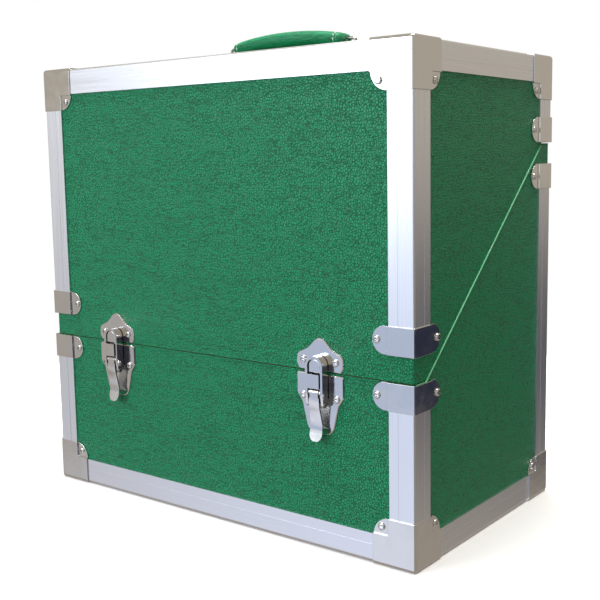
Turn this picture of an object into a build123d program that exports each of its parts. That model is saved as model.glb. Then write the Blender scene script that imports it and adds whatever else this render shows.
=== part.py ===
from build123d import *

import os
from math import atan2, cos, degrees, hypot, radians, sin, tan

# A case with a slanted parting line: the base is low in front and high behind, the lid is
# hinged on the upper back edge and lifts three level trays as it opens.
# Frame: X to the right, Y to the back, Z up; the origin is at the bottom centre. Millimetres.

# ---------------------------------------------------------------- driving dimensions
WIDTH = 362.0  # over the edge angles, left to right
DEPTH = 205.0  # over the edge angles, front to back
FOOT = 1.0  # the corner caps stand this far proud of the edge angles
HEIGHT = 351.0  # over the corner caps
HARDWARE_REACH = 110.5  # how far hinges (back) and latches (front) reach from the middle

ANGLE_LEG = 20.0
ANGLE_T = 1.2
ANGLE_R = 1.8
ANGLE_END = 22.0  # an angle stops this far from the case corner, under the cap
GROOVE_AT = 12.5
GROOVE_W = 0.6
GROOVE_DEEP = 0.12

COVER_T = 0.8
COVER_R = 1.6
BOARD_T = 5.2
LINING_T = 1.0

SPLIT_FRONT = 128.0
SPLIT_BACK = 284.0
SPLIT_Y0 = -87.5
SPLIT_Y1 = 87.6
SPLIT_GAP = 0.3  # each half stays this far from the parting line

CAP_LEG = 34.0
CAP_T = 1.0
CAP_R = 2.8
CAP_STEP = 21.1  # from the cap's outer edge to where it steps down off the angle
CAP_SCREW = 27.4
CLIP_TALL = 19.4
CLIP_BEND_R = 1.6
CLIP_SCREW = 30.3
CLIP_LOW_BACK = 248.6
CLIP_HIGH_FRONT = 146.0
CLIP_HIGH_BACK = 284.4

SCREW_R = 1.4
SCREW_HOLE_R = 1.5
SCREW_HEAD_R = 2.75
SCREW_HEAD_T = 1.5
SCREW_LONG = 10.5
SCREW_SHORT = 6.3

HINGE_X = 105.0
HINGE_W = 60.0
HINGE_R = 3.5
HINGE_PIN_R = 1.6
HINGE_LEAF_T = 1.5
HINGE_SCREW_PITCH = 20.0
RUNNING = 0.05  # radial clearance of every pivot

LATCH_X = 104.0
LEVER_PIVOT = (4.6, 114.4)  # (reach in front of the angle face, height)
LOOP_PIVOT = (3.9, 106.2)
LATCH_PIN_R = 1.0

OPEN_ANGLE = 92.0
TRAY_X = 166.4
TRAY_FRONT = -83.0
TRAY_BACK = 85.0
TRAY_TALL = 33.0
TRAY_PITCH = 36.0
TRAY_WALL = 3.0
DIVIDER_T = 2.5
DIVIDER_TALL = 26.0
PIN_LINE_ANGLE = 50.0  # the line of tray pins leans this far from upright
PIN_ABOVE_FLOOR = 27.0
STUD_R = 2.0
ARM_T = 1.8
ARM_HALF = 4.5
LID_ARM_X = 167.2
LEVEL_ARM_X = 169.5
LEVEL_OFFSET = (-30.0, -20.0)  # from a lid pivot to the levelling pivot

HANDLE_Y = 3.0
HANDLE_PIVOT_Z = 355.0
HANDLE_HALF = 55.0
RING_X = 59.0

# ---------------------------------------------------------------- derived sizes
AX = WIDTH / 2
AY = DEPTH / 2
CX = AX + FOOT
CY = AY + FOOT
AZ0 = FOOT
AZ1 = HEIGHT - FOOT
MID_Z = HEIGHT / 2
VX = AX - ANGLE_T
VY = AY - ANGLE_T
VZ0 = AZ0 + ANGLE_T
VZ1 = AZ1 - ANGLE_T
BX = VX - COVER_T
BY = VY - COVER_T
BZ0 = VZ0 + COVER_T
BZ1 = VZ1 - COVER_T
IX = BX - BOARD_T
IY = BY - BOARD_T
IZ0 = BZ0 + BOARD_T
IZ1 = BZ1 - BOARD_T
LX = IX - LINING_T
LY = IY - LINING_T
LZ0 = IZ0 + LINING_T
LZ1 = IZ1 - LINING_T
EAR_FACE = CY - CAP_T - ANGLE_T + CAP_T  # outer face of a part lying on the covering, front or back
EAR_FACE_X = EAR_FACE + AX - AY
FAR = 400.0

HINGE_Y = HARDWARE_REACH - HINGE_R
HINGE_Z = SPLIT_BACK
LEVEL_PIVOT = (HINGE_Y + LEVEL_OFFSET[0], HINGE_Z + LEVEL_OFFSET[1])
PIN_STEP = (-TRAY_PITCH * tan(radians(PIN_LINE_ANGLE)), TRAY_PITCH)
MIDDLE_PIN = (HINGE_Y - 78.0, HINGE_Z - 82.0)
TRAY_PINS = {
    "top_tray": (MIDDLE_PIN[0] + PIN_STEP[0], MIDDLE_PIN[1] + PIN_STEP[1]),
    "middle_tray": MIDDLE_PIN,
    "lower_tray": (MIDDLE_PIN[0] - PIN_STEP[0], MIDDLE_PIN[1] - PIN_STEP[1]),
}
ARM_UP = (-sin(radians(PIN_LINE_ANGLE)), cos(radians(PIN_LINE_ANGLE)))

os.makedirs("parts", exist_ok=True)


def save(piece, name):
    piece.part.label = name
    export_step(piece.part, f"parts/{name}.step")


def level_pin(pin):
    return (pin[0] + LEVEL_OFFSET[0], pin[1] + LEVEL_OFFSET[1])


# ---------------------------------------------------------------- the parting line
def below_split(reach, low):
    """Side outline of the base, out to plus and minus reach, from low up to the parting line."""
    return [
        (-reach, low),
        (reach, low),
        (reach, SPLIT_BACK - SPLIT_GAP),
        (SPLIT_Y1, SPLIT_BACK - SPLIT_GAP),
        (SPLIT_Y0, SPLIT_FRONT - SPLIT_GAP),
        (-reach, SPLIT_FRONT - SPLIT_GAP),
    ]


def above_split(reach, high):
    """Side outline of the lid, from the parting line up to high."""
    return [
        (-reach, high),
        (reach, high),
        (reach, SPLIT_BACK + SPLIT_GAP),
        (SPLIT_Y1, SPLIT_BACK + SPLIT_GAP),
        (SPLIT_Y0, SPLIT_FRONT + SPLIT_GAP),
        (-reach, SPLIT_FRONT + SPLIT_GAP),
    ]


def slab(x0, x1, outline):
    """A plate with the given side outline between two x planes."""
    with BuildPart() as plate:
        with BuildSketch(Plane.YZ.offset(x0)):
            with BuildLine():
                Polyline(*outline, close=True)
            make_face()
        extrude(amount=x1 - x0)
    return plate


def shell(outline, outer, inner_outline, inner_x, closed_face):
    """An open box: a side outline with walls, hollow inside, edges rounded outside."""
    with BuildPart() as box:
        with BuildSketch(Plane.YZ.offset(-outer)):
            with BuildLine():
                Polyline(*outline, close=True)
            make_face()
        extrude(amount=2 * outer)
        upright = box.edges().filter_by(Axis.Z)
        rim = closed_face(box.faces().filter_by(Axis.Z).sort_by(Axis.Z)).edges()
        fillet(upright + rim, radius=COVER_R)
        with BuildSketch(Plane.YZ.offset(-inner_x)):
            with BuildLine():
                Polyline(*inner_outline, close=True)
            make_face()
        extrude(amount=2 * inner_x, mode=Mode.SUBTRACT)
    return box


def lining(outline, hollow):
    """A thin liner: a side outline with a hollow of the same width less the cloth."""
    with BuildPart() as liner:
        with BuildSketch(Plane.YZ.offset(-IX)):
            with BuildLine():
                Polyline(*outline, close=True)
            make_face()
        extrude(amount=2 * IX)
        with BuildSketch(Plane.YZ.offset(-LX)):
            with BuildLine():
                Polyline(*hollow, close=True)
            make_face()
        extrude(amount=2 * LX, mode=Mode.SUBTRACT)
    return liner


def tall_hollow(reach, low, high):
    return [(-reach, low), (reach, low), (reach, high), (-reach, high)]


# ---------------------------------------------------------------- base and lid boxes
base_cover = shell(below_split(VY, VZ0), VX, tall_hollow(BY, BZ0, FAR), BX, lambda f: f[0])
save(base_cover, "base_cover")
lid_cover = shell(above_split(VY, VZ1), VX, tall_hollow(BY, 0, BZ1), BX, lambda f: f[-1])
save(lid_cover, "lid_cover")

base_lining = lining(below_split(IY, IZ0), tall_hollow(LY, LZ0, FAR))
save(base_lining, "base_lining")
lid_lining = lining(above_split(IY, IZ1), tall_hollow(LY, 0, LZ1))
save(lid_lining, "lid_lining")

with BuildPart() as base_floor:
    with BuildSketch(Plane.XY.offset(BZ0)):
        Rectangle(2 * BX, 2 * BY)
    extrude(amount=BOARD_T)
save(base_floor, "base_floor")

with BuildPart() as lid_top_panel:
    with BuildSketch(Plane.XY.offset(IZ1)):
        Rectangle(2 * BX, 2 * BY)
    extrude(amount=BOARD_T)
save(lid_top_panel, "lid_top_panel")


def cross_board(y0, z0, z1):
    """A board as wide as the case, standing on edge from z0 to z1."""
    with BuildPart() as board:
        with BuildSketch(Plane.XY.offset(z0)):
            with Locations((0, y0 + BOARD_T / 2)):
                Rectangle(2 * BX, BOARD_T)
        extrude(amount=z1 - z0)
    return board


save(cross_board(-BY, IZ0, SPLIT_FRONT - SPLIT_GAP), "base_front_panel")
save(cross_board(IY, IZ0, SPLIT_BACK - SPLIT_GAP), "base_back_panel")
save(cross_board(-BY, SPLIT_FRONT + SPLIT_GAP, IZ1), "lid_front_panel")
save(cross_board(IY, SPLIT_BACK + SPLIT_GAP, IZ1), "lid_back_panel")
save(slab(-BX, -IX, below_split(IY, IZ0)), "base_left_panel")
save(slab(IX, BX, below_split(IY, IZ0)), "base_right_panel")
save(slab(-BX, -IX, above_split(IY, IZ1)), "lid_left_panel")
save(slab(IX, BX, above_split(IY, IZ1)), "lid_right_panel")


# ---------------------------------------------------------------- edge angles
def edge_angle(plane, length):
    """An extruded aluminium angle; its outer corner runs along the plane's normal."""
    inner = ANGLE_LEG - ANGLE_T
    with BuildPart() as angle:
        with BuildSketch(plane) as profile:
            Rectangle(ANGLE_LEG, ANGLE_LEG, align=(Align.MIN, Align.MIN))
            fillet(profile.vertices().group_by(Axis.Y)[0].sort_by(Axis.X)[0], radius=ANGLE_R)
            with Locations((ANGLE_T, ANGLE_T)):
                Rectangle(inner, inner, align=(Align.MIN, Align.MIN), mode=Mode.SUBTRACT)
            with Locations((GROOVE_AT, 0)):
                Rectangle(GROOVE_W, 2 * GROOVE_DEEP, mode=Mode.SUBTRACT)
            with Locations((0, GROOVE_AT)):
                Rectangle(2 * GROOVE_DEEP, GROOVE_W, mode=Mode.SUBTRACT)
        extrude(amount=length)
    return angle


def mirrored(piece, plane, keep=False):
    """The piece's mirror image; with keep, the piece and its image together."""
    with BuildPart() as both:
        if keep:
            add(piece.part)
        mirror(piece.part, about=plane)
    return both


OVER = Plane.XY.offset(MID_Z)
along_x = Plane(origin=(ANGLE_END - AX, -AY, AZ0), x_dir=(0, 1, 0), z_dir=(1, 0, 0))
along_y = Plane(origin=(-AX, AY - ANGLE_END, AZ0), x_dir=(1, 0, 0), z_dir=(0, -1, 0))

bottom_edge_front = edge_angle(along_x, 2 * (AX - ANGLE_END))
bottom_edge_back = mirrored(bottom_edge_front, Plane.XZ)
bottom_edge_left = edge_angle(along_y, 2 * (AY - ANGLE_END))
bottom_edge_right = mirrored(bottom_edge_left, Plane.YZ)
save(bottom_edge_front, "bottom_edge_front")
save(bottom_edge_back, "bottom_edge_back")
save(bottom_edge_left, "bottom_edge_left")
save(bottom_edge_right, "bottom_edge_right")
save(mirrored(bottom_edge_front, OVER), "top_edge_front")
save(mirrored(bottom_edge_back, OVER), "top_edge_back")
save(mirrored(bottom_edge_left, OVER), "top_edge_left")
save(mirrored(bottom_edge_right, OVER), "top_edge_right")


def front_posts(z0, z1):
    """The pair of upright angles on the front corners."""
    post = edge_angle(Plane(origin=(-AX, -AY, z0)), z1 - z0)
    return mirrored(post, Plane.YZ, keep=True)


POST_FOOT = AZ0 + ANGLE_END
POST_HEAD = AZ1 - ANGLE_END
CLIP_LOW_FRONT = SPLIT_FRONT - SPLIT_GAP - CLIP_TALL
save(front_posts(POST_FOOT, SPLIT_FRONT - 1), "base_front_posts")
save(mirrored(front_posts(POST_FOOT, CLIP_LOW_BACK + CLIP_TALL - 1), Plane.XZ), "base_back_posts")
save(front_posts(CLIP_HIGH_FRONT + 1, POST_HEAD), "lid_front_posts")
save(mirrored(front_posts(CLIP_HIGH_BACK + 1, POST_HEAD), Plane.XZ), "lid_back_posts")


# ---------------------------------------------------------------- corner caps
def corner_cap(screwed_faces):
    """A pressed three-sided cap with its corner at the origin, reaching along +X, +Y and +Z.

    Each side has two legs over the edge angles and a quarter-round ear stepped down between them.
    """
    ear = CAP_LEG - CAP_STEP
    with BuildPart() as cap:
        Box(CAP_LEG, CAP_LEG, CAP_LEG, align=(Align.MIN, Align.MIN, Align.MIN))
        fillet(cap.edges().sort_by(SortBy.DISTANCE)[0:3], radius=CAP_R)
        add(cap_core.part, mode=Mode.SUBTRACT)
        for face in (Plane.XY, Plane.YZ, Plane.ZX):
            with BuildSketch(face):
                with Locations((CAP_STEP, CAP_STEP)):
                    Rectangle(ear, ear, align=(Align.MIN, Align.MIN))
            extrude(amount=CAP_T, mode=Mode.SUBTRACT)
            with BuildSketch(face.offset(ANGLE_T)):
                with Locations((CAP_STEP, CAP_STEP)):
                    Circle(ear)
                    Rectangle(ear, ear, align=(Align.MIN, Align.MIN), mode=Mode.INTERSECT)
            extrude(amount=CAP_T)
            with BuildSketch(face):
                with Locations((CAP_STEP, CAP_STEP)):
                    Circle(ear)
                    Rectangle(ear, ear, align=(Align.MIN, Align.MIN), mode=Mode.INTERSECT)
                with Locations((CAP_STEP + CAP_T, CAP_STEP + CAP_T)):
                    Rectangle(ear, ear, align=(Align.MIN, Align.MIN), mode=Mode.SUBTRACT)
            extrude(amount=ANGLE_T + CAP_T)
        for face in screwed_faces:
            with BuildSketch(face):
                with Locations((CAP_SCREW, CAP_SCREW)):
                    Circle(SCREW_HOLE_R)
            extrude(amount=ANGLE_T + CAP_T, mode=Mode.SUBTRACT)
    return cap


with BuildPart() as cap_core:
    with Locations((CAP_T, CAP_T, CAP_T)):
        Box(CAP_LEG, CAP_LEG, CAP_LEG, align=(Align.MIN, Align.MIN, Align.MIN))
    fillet(cap_core.edges().sort_by(SortBy.DISTANCE)[0:3], radius=CAP_R - CAP_T)


def front_pair(unit, z0):
    """A left corner piece and its mirror image, on the front corners, with its foot at z0."""
    with BuildPart() as pair:
        with Locations((-CX, -CY, z0)):
            add(unit.part)
        mirror(about=Plane.YZ)
    return pair


low_caps = front_pair(corner_cap((Plane.YZ, Plane.ZX)), 0)
high_caps = mirrored(front_pair(corner_cap((Plane.XY, Plane.YZ, Plane.ZX)), 0), OVER)
save(low_caps, "bottom_front_caps")
save(mirrored(low_caps, Plane.XZ), "bottom_back_caps")
save(high_caps, "top_front_caps")
save(mirrored(high_caps, Plane.XZ), "top_back_caps")

# ---------------------------------------------------------------- edge clips
CLIP_R = CLIP_TALL / 2
CLIP_ROUND = CAP_LEG - CLIP_R

CLIP_EDGE = [
    (CAP_T, CAP_T),
    (CAP_STEP, CAP_T),
    (CAP_STEP, ANGLE_T + CAP_T),
    (CAP_LEG, ANGLE_T + CAP_T),
    (CAP_LEG, ANGLE_T),
    (CAP_STEP + CAP_T, ANGLE_T),
    (CAP_STEP + CAP_T, 0),
    (0, 0),
]

with BuildPart() as clip:
    with BuildSketch() as bent_strip:
        with BuildLine():
            Polyline(*CLIP_EDGE, *[(y, x) for x, y in reversed(CLIP_EDGE[1:-1])], close=True)
        make_face()
        fillet(bent_strip.vertices().sort_by(SortBy.DISTANCE)[0], radius=CLIP_BEND_R)
        fillet(bent_strip.vertices().sort_by(SortBy.DISTANCE)[0], radius=CLIP_BEND_R - CAP_T)
    extrude(amount=CLIP_TALL)
    for face, depth in ((Plane.XZ, -CAP_LEG), (Plane.YZ, CAP_LEG)):
        with BuildSketch(face):
            Rectangle(CLIP_ROUND, CLIP_TALL, align=(Align.MIN, Align.MIN))
            with Locations((CLIP_ROUND, CLIP_R)):
                Circle(CLIP_R)
        extrude(amount=depth, mode=Mode.INTERSECT)
        with BuildSketch(face):
            with Locations((CLIP_SCREW, CLIP_R)):
                Circle(SCREW_HOLE_R)
        extrude(amount=depth, mode=Mode.SUBTRACT)


def clip_set(z_front, z_back):
    """Four clips, a pair on the front corners and a pair on the back corners."""
    with BuildPart() as clips:
        add(front_pair(clip, z_front).part)
        mirror(front_pair(clip, z_back).part, about=Plane.XZ)
    return clips


save(clip_set(CLIP_LOW_FRONT, CLIP_LOW_BACK), "base_clips")
save(clip_set(CLIP_HIGH_FRONT, CLIP_HIGH_BACK), "lid_clips")

# ---------------------------------------------------------------- hinges
LEAF_LOW = HINGE_Z - 28.0
LEAF_HIGH = HINGE_Z + 28.0
KNUCKLE = 20.0
KNUCKLE_GAP = 0.15
WEB_T = 2.8
LEAF_SCREW = 19.0
HINGE_SCREWS = [s * HINGE_X + k * HINGE_SCREW_PITCH for s in (-1, 1) for k in (-1, 0, 1)]


def hinge_leaf(plate_z0, plate_z1, web_z0, knuckles, hole_r):
    """A leaf on the back face with its barrel knuckles, for both hinges."""
    with BuildPart() as leaf:
        for centre in (-HINGE_X, HINGE_X):
            with BuildSketch(Plane.XZ.offset(-VY)):
                with Locations((centre, (plate_z0 + plate_z1) / 2)):
                    RectangleRounded(HINGE_W, plate_z1 - plate_z0, 1.0)
            extrude(amount=-HINGE_LEAF_T)
            for x0, x1 in knuckles:
                with BuildSketch(Plane.YZ.offset(centre + x0)):
                    with Locations((HINGE_Y, HINGE_Z)):
                        Circle(HINGE_R)
                    with Locations((VY, web_z0)):
                        Rectangle(HINGE_Y - VY, WEB_T, align=(Align.MIN, Align.MIN))
                    with Locations((HINGE_Y, HINGE_Z)):
                        Circle(hole_r, mode=Mode.SUBTRACT)
                extrude(amount=x1 - x0)
        with BuildSketch(Plane.XZ.offset(-VY)):
            with Locations(*[(x, (plate_z0 + plate_z1) / 2) for x in HINGE_SCREWS]):
                Circle(SCREW_HOLE_R)
        extrude(amount=-HINGE_LEAF_T, mode=Mode.SUBTRACT)
    return leaf


outer_knuckles = ((-HINGE_W / 2, -KNUCKLE / 2 - KNUCKLE_GAP), (KNUCKLE / 2 + KNUCKLE_GAP, HINGE_W / 2))
inner_knuckle = ((-KNUCKLE / 2 + KNUCKLE_GAP, KNUCKLE / 2 - KNUCKLE_GAP),)
base_leaf_top = HINGE_Z - 2 * SPLIT_GAP
lid_leaf_foot = HINGE_Z + 2 * SPLIT_GAP
base_hinge_leaves = hinge_leaf(LEAF_LOW, base_leaf_top, base_leaf_top - WEB_T, outer_knuckles, HINGE_PIN_R)
lid_hinge_leaves = hinge_leaf(lid_leaf_foot, LEAF_HIGH, lid_leaf_foot, inner_knuckle, HINGE_PIN_R + RUNNING)
save(base_hinge_leaves, "base_hinge_leaves")
save(lid_hinge_leaves, "lid_hinge_leaves")

with BuildPart() as hinge_pins:
    for centre in (-HINGE_X, HINGE_X):
        with BuildSketch(Plane.YZ.offset(centre - HINGE_W / 2)):
            with Locations((HINGE_Y, HINGE_Z)):
                Circle(HINGE_PIN_R)
        extrude(amount=HINGE_W)
        for x0 in (centre - HINGE_W / 2 - 1.2, centre + HINGE_W / 2):
            with BuildSketch(Plane.YZ.offset(x0)):
                with Locations((HINGE_Y, HINGE_Z)):
                    Circle(HINGE_R - 0.7)
            extrude(amount=1.2)
save(hinge_pins, "hinge_pins")

# ---------------------------------------------------------------- latches
PLATE_T = 1.2
LATCH_SCREW = (14.5, 110.0)
KEEPER_SCREW = (13.95, 135.6)
BRIDGE_HALF = 5.0
BRIDGE_WALL = 1.2
BRIDGE_TOP = 127.6
BRIDGE_FOOT = 117.6
BRIDGE_REACH = HARDWARE_REACH - AY
EAR_R = 2.2
BARREL_R = 2.6
BARREL_HALF = 3.6
LUG_OUT = 4.4
LOOP_IN = 5.5
LOOP_OUT = 7.4
LOOP_ARCH_Z = 132.8
LOOP_NEAR = 0.6
LOOP_FAR = 7.0
DOME_R = 4.9
DOME_Z = 133.1
DOME_REACH = 6.2


def at(reach, z):
    """A point in front of the angle face, as a (y, z) pair."""
    return (-AY - reach, z)


PLATE_HALF = [((20.2, 126.5), 1.5), ((20.2, 111.2), 2.5), ((15.8, 105.2), 4.0), ((10.5, 83.5), 8.5)]
KEEPER_HALF = [((10.5, 144.2), 9.0), ((19.6, 140.2), 4.0), ((20.5, 133.0), 5.0), ((18.0, 128.5), 2.4)]
KEEPER_PEAK = ((0.0, 154.7), 7.0)
DOME_FOOT = 128.4


def plate_outline(corners):
    """A symmetric plate outline in the current sketch, each corner rounded to its own radius."""
    left = [((-x, z), radius) for (x, z), radius in reversed(corners) if x > 0]
    with BuildLine() as edge:
        FilletPolyline(*[point for point, _ in corners + left], radius=[r for _, r in corners + left], close=True)
    return make_face(edge.edges())


with BuildPart() as latch_plate:
    with BuildSketch(Plane.XZ.offset(VY)):
        add(plate_outline(PLATE_HALF))
    extrude(amount=PLATE_T)
    chamfer(latch_plate.faces().sort_by(Axis.Y)[0].edges(), length=0.6)
    for side in (-BRIDGE_HALF, BRIDGE_HALF - BRIDGE_WALL):
        with BuildSketch(Plane.YZ.offset(side)):
            with BuildLine():
                foot_z = LEVER_PIVOT[1] - EAR_R
                Polyline(
                    at(-0.1, foot_z),
                    at(LEVER_PIVOT[0], foot_z),
                    at(LEVER_PIVOT[0] + 1, BRIDGE_FOOT),
                    at(BRIDGE_REACH, BRIDGE_FOOT),
                    at(BRIDGE_REACH, BRIDGE_TOP),
                    at(-0.1, BRIDGE_TOP),
                    close=True,
                )
            make_face()
            with Locations(at(*LEVER_PIVOT)):
                Circle(EAR_R)
                Circle(LATCH_PIN_R, mode=Mode.SUBTRACT)
        extrude(amount=BRIDGE_WALL)
    with BuildSketch(Plane.XZ.offset(AY + BRIDGE_REACH - BRIDGE_WALL)):
        with Locations((0, (BRIDGE_FOOT + BRIDGE_TOP) / 2)):
            Rectangle(2 * BRIDGE_HALF, BRIDGE_TOP - BRIDGE_FOOT)
    extrude(amount=BRIDGE_WALL)
    with BuildSketch(Plane.XZ.offset(VY)):
        with Locations((-LATCH_SCREW[0], LATCH_SCREW[1]), LATCH_SCREW):
            Circle(SCREW_HOLE_R)
    extrude(amount=PLATE_T, mode=Mode.SUBTRACT)

with BuildPart() as latch_pin:
    with BuildSketch(Plane.YZ.offset(-BRIDGE_HALF - 0.2)):
        with Locations(at(*LEVER_PIVOT)):
            Circle(LATCH_PIN_R)
    extrude(amount=2 * BRIDGE_HALF + 0.4)

with BuildPart() as keeper:
    with BuildSketch(Plane.XZ.offset(VY)):
        add(plate_outline([KEEPER_PEAK] + KEEPER_HALF))
    extrude(amount=PLATE_T)
    chamfer(keeper.faces().sort_by(Axis.Y)[0].edges(), length=0.6)
    with BuildSketch(Plane.XZ.offset(AY - 0.1)):
        with Locations((0, DOME_Z)):
            Circle(DOME_R)
        with Locations((0, DOME_FOOT)):
            Rectangle(2 * DOME_R, DOME_Z - DOME_FOOT, align=(Align.CENTER, Align.MIN))
    extrude(amount=DOME_REACH + 0.1)
    fillet(keeper.faces().sort_by(Axis.Y)[0].edges(), radius=0.7)
    with BuildSketch(Plane.XZ.offset(VY)):
        with Locations((-KEEPER_SCREW[0], KEEPER_SCREW[1]), KEEPER_SCREW):
            Circle(SCREW_HOLE_R)
    extrude(amount=PLATE_T, mode=Mode.SUBTRACT)

BLADE_T = 1.3
BLADE_OUT = BARREL_R - BLADE_T / 2
TIP_R = 5.4
TIP_Z = 84.9

with BuildPart() as lever:
    with BuildSketch(Plane.YZ.offset(-TIP_R)):
        with BuildLine():
            Polyline(
                at(LEVER_PIVOT[0] + BLADE_OUT, LEVER_PIVOT[1]),
                at(LEVER_PIVOT[0] + BLADE_OUT, 106.0),
                at(3.6, 90.5),
                at(6.2, 79.6),
            )
        trace(line_width=BLADE_T)
    extrude(amount=2 * TIP_R)
    with BuildSketch(Plane.XZ.offset(AY - 1)):
        with BuildLine():
            Polyline(
                (-BARREL_HALF, 116.0),
                (-BARREL_HALF, 111.4),
                (-LUG_OUT, 110.4),
                (-LUG_OUT, 103.0),
                (-4.7, 98.0),
                (-TIP_R, TIP_Z),
                (TIP_R, TIP_Z),
                (4.7, 98.0),
                (LUG_OUT, 103.0),
                (LUG_OUT, 110.4),
                (BARREL_HALF, 111.4),
                (BARREL_HALF, 116.0),
                close=True,
            )
        make_face()
        with Locations((0, TIP_Z)):
            Circle(TIP_R)
    extrude(amount=12, mode=Mode.INTERSECT)
    with BuildSketch(Plane.YZ.offset(-BARREL_HALF)):
        with Locations(at(*LEVER_PIVOT)):
            Circle(BARREL_R)
    extrude(amount=2 * BARREL_HALF)
    for side in (-LUG_OUT, BARREL_HALF - 0.6):
        with BuildSketch(Plane.YZ.offset(side)):
            with BuildLine():
                Polyline(
                    at(LEVER_PIVOT[0] + BLADE_OUT, LOOP_PIVOT[1] + 3.4),
                    at(LOOP_PIVOT[0], LOOP_PIVOT[1] + EAR_R),
                    at(LOOP_PIVOT[0], LOOP_PIVOT[1] - EAR_R),
                    at(LEVER_PIVOT[0] + BLADE_OUT - 0.4, LOOP_PIVOT[1] - 3.2),
                    close=True,
                )
            make_face()
            with Locations(at(*LOOP_PIVOT)):
                Circle(EAR_R)
        extrude(amount=LUG_OUT - BARREL_HALF + 0.6)
    with BuildSketch(Plane.YZ.offset(-TIP_R)):
        with Locations(at(*LEVER_PIVOT), at(*LOOP_PIVOT)):
            Circle(LATCH_PIN_R + RUNNING)
    extrude(amount=2 * TIP_R, mode=Mode.SUBTRACT)

with BuildPart() as loop:
    with BuildSketch(Plane.XZ.offset(AY + LOOP_NEAR)):
        with Locations((0, LOOP_ARCH_Z)):
            Circle(LOOP_OUT)
        with Locations((0, LOOP_PIVOT[1] - EAR_R)):
            Rectangle(2 * LOOP_OUT, LOOP_ARCH_Z - LOOP_PIVOT[1] + EAR_R, align=(Align.CENTER, Align.MIN))
        with Locations((0, LOOP_ARCH_Z)):
            Circle(LOOP_IN, mode=Mode.SUBTRACT)
        with Locations((0, LOOP_PIVOT[1] - EAR_R)):
            Rectangle(
                2 * LOOP_IN,
                LOOP_ARCH_Z - LOOP_PIVOT[1] + EAR_R,
                align=(Align.CENTER, Align.MIN),
                mode=Mode.SUBTRACT,
            )
    extrude(amount=LOOP_FAR - LOOP_NEAR)
    with BuildSketch(Plane.YZ.offset(-LOOP_OUT)):
        with Locations(at(*LOOP_PIVOT)):
            Circle(EAR_R - 0.1)
        with Locations(at((LOOP_NEAR + LOOP_FAR) / 2, 127.5)):
            Rectangle(LOOP_FAR - LOOP_NEAR, 29.0)
        make_hull()
    extrude(amount=2 * LOOP_OUT, mode=Mode.INTERSECT)
    with BuildSketch(Plane.YZ.offset(-LOOP_OUT - 0.4)):
        with Locations(at(*LOOP_PIVOT)):
            Circle(LATCH_PIN_R)
    extrude(amount=2 * LOOP_OUT + 0.8)


def on_both_latches(unit):
    with BuildPart() as pair:
        with Locations((-LATCH_X, 0, 0), (LATCH_X, 0, 0)):
            add(unit.part)
    return pair


save(on_both_latches(latch_plate), "latch_plates")
save(on_both_latches(latch_pin), "latch_pins")
save(on_both_latches(keeper), "latch_keepers")
for side_name, side_x in (("left", -LATCH_X), ("right", LATCH_X)):
    for unit_name, unit in (("lever", lever), ("loop", loop)):
        with BuildPart() as placed:
            with Locations((side_x, 0, 0)):
                add(unit.part)
        save(placed, f"{side_name}_latch_{unit_name}")

# ---------------------------------------------------------------- trays
TRAY_IN_X = TRAY_X - TRAY_WALL
TRAY_DEEP = TRAY_BACK - TRAY_FRONT
TRAY_Y = (TRAY_BACK + TRAY_FRONT) / 2
HALF_ROW = (TRAY_DEEP - 2 * TRAY_WALL - DIVIDER_T) / 2
STUD_HEAD_R = 3.8
STUD_HEAD_T = 1.2


def tray_floor(pin):
    return pin[1] - PIN_ABOVE_FLOOR


def tray_shell(pin):
    """A shallow open tray with the four stud holes of its two pivots a side."""
    with BuildPart() as tray:
        with BuildSketch(Plane.XY.offset(tray_floor(pin))):
            with Locations((0, TRAY_Y)):
                RectangleRounded(2 * TRAY_X, TRAY_DEEP, 4.0)
        extrude(amount=TRAY_TALL)
        with BuildSketch(Plane.XY.offset(tray_floor(pin) + TRAY_WALL)):
            with Locations((0, TRAY_Y)):
                RectangleRounded(2 * TRAY_IN_X, TRAY_DEEP - 2 * TRAY_WALL, 1.5)
        extrude(amount=TRAY_TALL, mode=Mode.SUBTRACT)
        with BuildSketch(Plane.YZ.offset(-TRAY_X)):
            with Locations(pin, level_pin(pin)):
                Circle(STUD_R)
        extrude(amount=2 * TRAY_X, mode=Mode.SUBTRACT)
    return tray


def dividers(pin, strips):
    """Upright strips on the tray floor, each as (x, y, length in x, length in y)."""
    with BuildPart() as walls:
        with BuildSketch(Plane.XY.offset(tray_floor(pin) + TRAY_WALL)):
            for x, y, long_x, long_y in strips:
                with Locations((x, y)):
                    Rectangle(long_x, long_y)
        extrude(amount=DIVIDER_TALL)
    return walls


def studs(pin):
    """Riveted studs through the tray sides: short ones for the lid arm, long for the levelling arm."""
    with BuildPart() as rivets:
        for centre, reach in ((pin, LEVEL_ARM_X - 0.3), (level_pin(pin), LEVEL_ARM_X + ARM_T)):
            with BuildSketch(Plane.YZ.offset(TRAY_IN_X)):
                with Locations(centre):
                    Circle(STUD_R)
            extrude(amount=reach - TRAY_IN_X)
            with BuildSketch(Plane.YZ.offset(TRAY_IN_X - STUD_HEAD_T)):
                with Locations(centre):
                    Circle(STUD_HEAD_R)
            extrude(amount=STUD_HEAD_T)
        mirror(about=Plane.YZ)
    return rivets


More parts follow.
